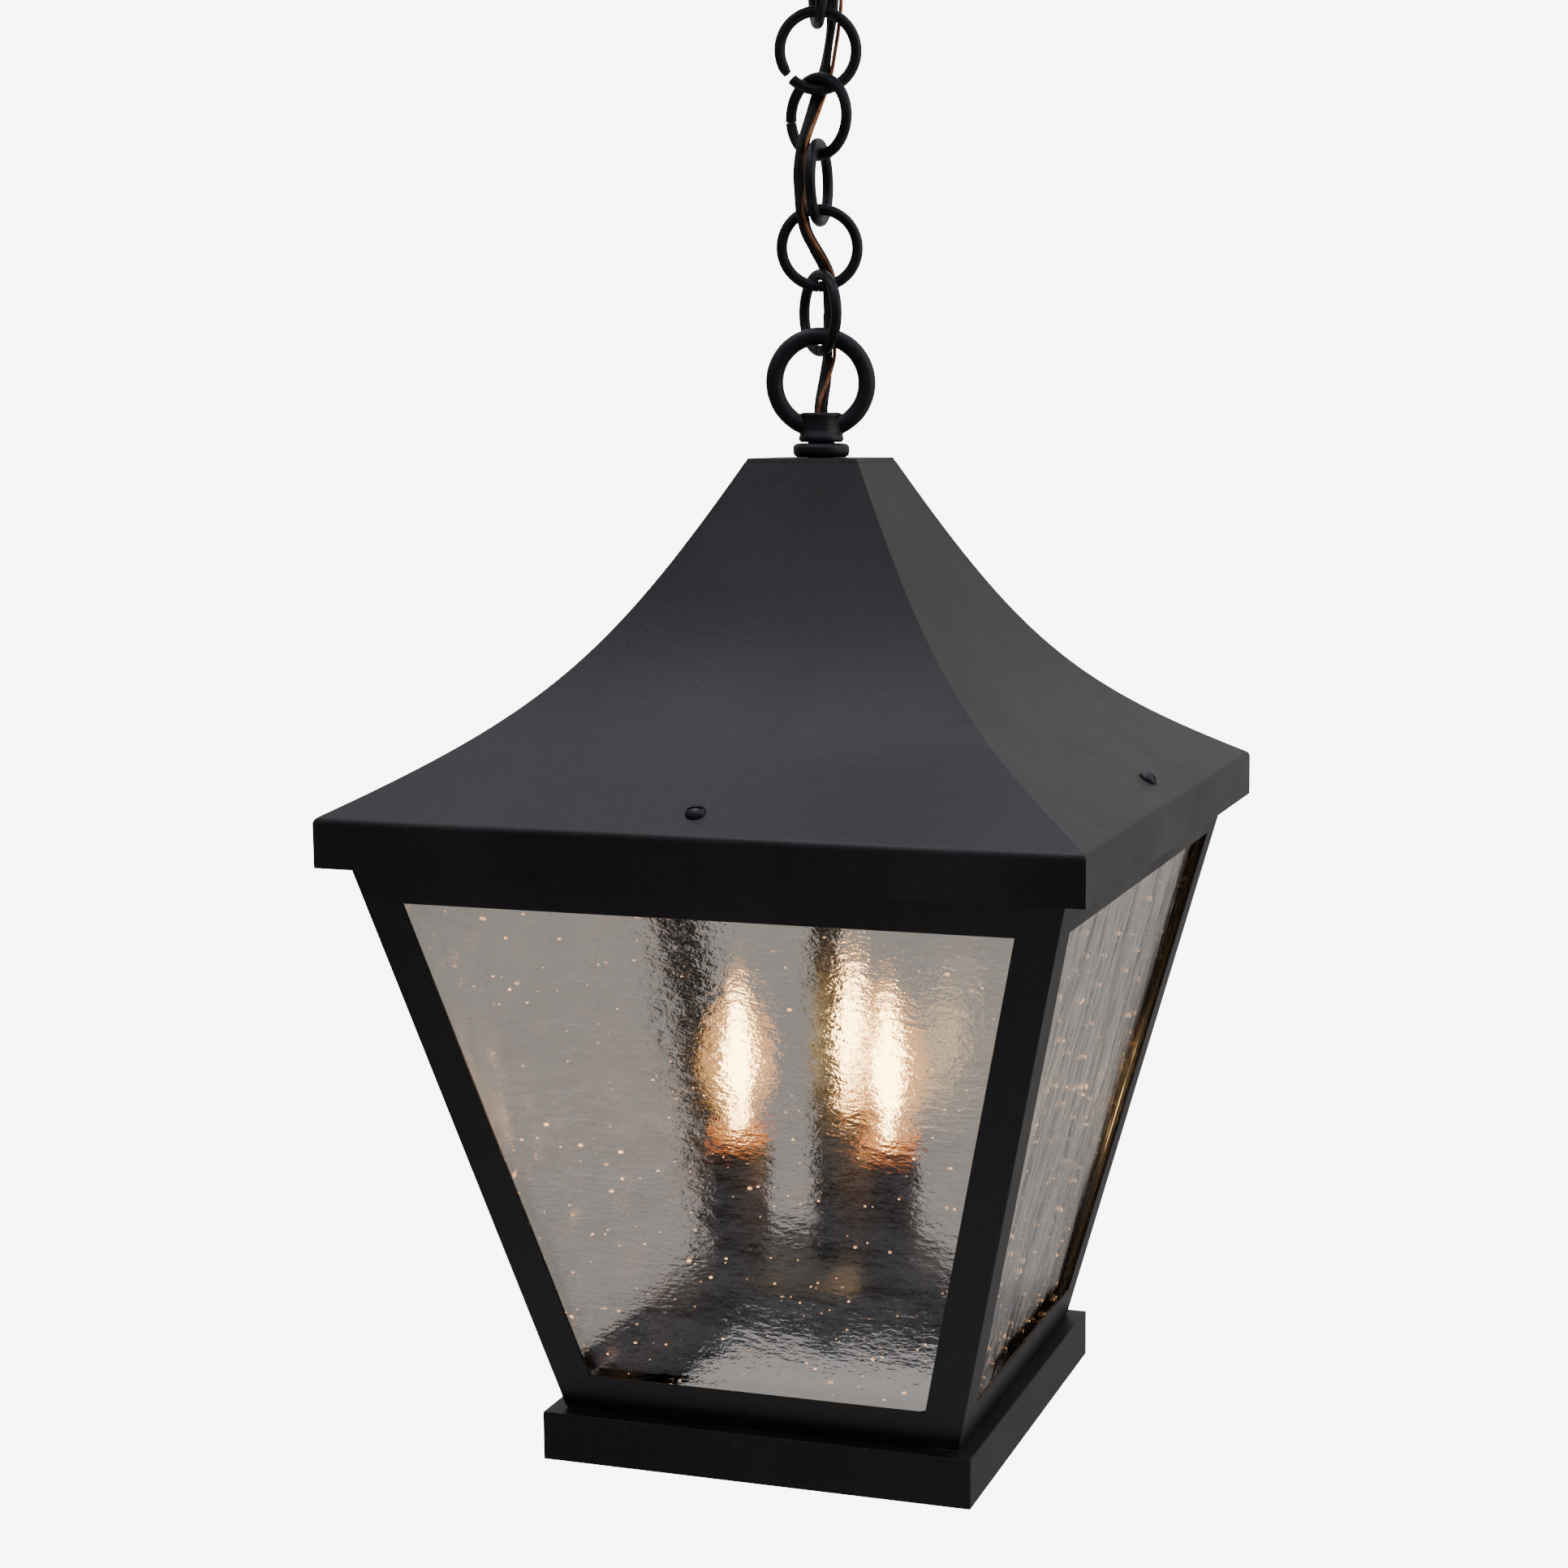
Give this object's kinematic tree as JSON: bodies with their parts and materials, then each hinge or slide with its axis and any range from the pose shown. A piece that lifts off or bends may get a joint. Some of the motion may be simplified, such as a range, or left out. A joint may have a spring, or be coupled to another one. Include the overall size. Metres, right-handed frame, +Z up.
{
  "type": "hanging lantern",
  "caption": "Square hanging lantern with a flared sheet roof, a tapered glazed cage and candle lights, hung from a ceiling canopy on round chain links.",
  "frame": {"origin": "centre of the mounting bar's top face, on the ceiling", "axes": "+Z up to the ceiling; the front glass faces -Y and +X is to the right of it"},
  "size_m": [0.305, 0.305, 0.6816],
  "materials": {
    "black_iron": "aged black, semi-matt",
    "steel": "zinc plated",
    "brass": "plain",
    "copper": "bare, dulled",
    "cord_sheath": "soft PVC",
    "pane_glass": "seeded, lightly smoked",
    "bulb_glass": "clear",
    "holder_moulding": "cream, moulded"
  },
  "bodies": {
    "ceiling": {"mounting_bar": "steel", "canopy_nipple": "steel", "canopy": "black_iron", "canopy_loop": "black_iron", "supply_cord": "cord_sheath", "ground_wire": "copper"},
    "link_1": {"chain_link_1": "black_iron"},
    "link_2": {"chain_link_2": "black_iron"},
    "link_3": {"chain_link_3": "black_iron"},
    "link_4": {"chain_link_4": "black_iron"},
    "link_5": {"chain_link_5": "black_iron"},
    "link_6": {"chain_link_6": "black_iron"},
    "bulb_1": {"bulb_glass_1": "bulb_glass", "bulb_cap_1": "brass"},
    "bulb_2": {"bulb_glass_2": "bulb_glass", "bulb_cap_2": "brass"},
    "bulb_3": {"bulb_glass_3": "bulb_glass", "bulb_cap_3": "brass"},
    "lantern": {"fixture_loop": "black_iron", "loop_seat_ring": "black_iron", "roof_top_plate": "black_iron", "stem_tube": "black_iron", "roof_panel_front": "black_iron", "roof_panel_right": "black_iron", "roof_panel_back": "black_iron", "roof_panel_left": "black_iron", "roof_screw_front": "black_iron", "roof_screw_right": "black_iron", "roof_screw_back": "black_iron", "roof_screw_left": "black_iron", "roof_strap_x": "black_iron", "roof_strap_y": "black_iron", "corner_post_front_right": "black_iron", "corner_post_back_right": "black_iron", "corner_post_back_left": "black_iron", "corner_post_front_left": "black_iron", "top_rail_front": "black_iron", "top_rail_right": "black_iron", "top_rail_back": "black_iron", "top_rail_left": "black_iron", "bottom_rail_front": "black_iron", "bottom_rail_right": "black_iron", "bottom_rail_back": "black_iron", "bottom_rail_left": "black_iron", "base_pan": "black_iron", "cluster_dish": "black_iron", "cluster_cover": "black_iron", "stem_finial": "black_iron", "roof_locknut": "steel", "strap_locknut": "steel", "glass_pane_front": "pane_glass", "glass_pane_right": "pane_glass", "glass_pane_back": "pane_glass", "glass_pane_left": "pane_glass", "candle_sleeve_1": "black_iron", "lamp_holder_1": "holder_moulding", "candle_sleeve_2": "black_iron", "lamp_holder_2": "holder_moulding", "candle_sleeve_3": "black_iron", "lamp_holder_3": "holder_moulding"}
  },
  "joints": [
    {"name": "canopy_to_link_1", "type": "hinge", "parent": "ceiling", "child": "link_1", "pos_m": [0, 0, -0.074], "axis": [0.8957, 0.4446, 0], "range_deg": [-12, 12], "deforming": ["supply_cord", "ground_wire"]},
    {"name": "link_1_to_link_2", "type": "hinge", "parent": "link_1", "child": "link_2", "pos_m": [0, 0, -0.09885], "axis": [0.4446, -0.8957, 0], "range_deg": [-12, 12], "deforming": ["supply_cord", "ground_wire"]},
    {"name": "link_2_to_link_3", "type": "hinge", "parent": "link_2", "child": "link_3", "pos_m": [0, 0, -0.12505], "axis": [0.9593, 0.2823, 0], "range_deg": [-8, 8], "deforming": ["supply_cord", "ground_wire"]},
    {"name": "link_3_to_link_4", "type": "hinge", "parent": "link_3", "child": "link_4", "pos_m": [0, 0, -0.15125], "axis": [0.9164, -0.4003, 0], "range_deg": [-12, 12], "deforming": ["supply_cord", "ground_wire"]},
    {"name": "link_4_to_link_5", "type": "hinge", "parent": "link_4", "child": "link_5", "pos_m": [0, 0, -0.17745], "axis": [-0.1115, 0.9938, 0], "range_deg": [-12, 12], "deforming": ["supply_cord", "ground_wire"]},
    {"name": "link_5_to_link_6", "type": "hinge", "parent": "link_5", "child": "link_6", "pos_m": [0, 0, -0.20365], "axis": [0.9593, 0.2823, 0], "range_deg": [-12, 12], "deforming": ["supply_cord", "ground_wire"]},
    {"name": "link_6_to_lantern", "type": "hinge", "parent": "link_6", "child": "lantern", "pos_m": [0, 0, -0.22985], "axis": [0.7071, -0.7071, 0], "range_deg": [-12, 12], "deforming": ["supply_cord", "ground_wire"]},
    {"name": "bulb_1_lift", "type": "slide", "parent": "lantern", "child": "bulb_1", "axis": [0, 0, 1], "range_m": [0, 0.01]},
    {"name": "bulb_2_lift", "type": "slide", "parent": "lantern", "child": "bulb_2", "axis": [0, 0, 1], "range_m": [0, 0.01]},
    {"name": "bulb_3_lift", "type": "slide", "parent": "lantern", "child": "bulb_3", "axis": [0, 0, 1], "range_m": [0, 0.01]}
  ]
}
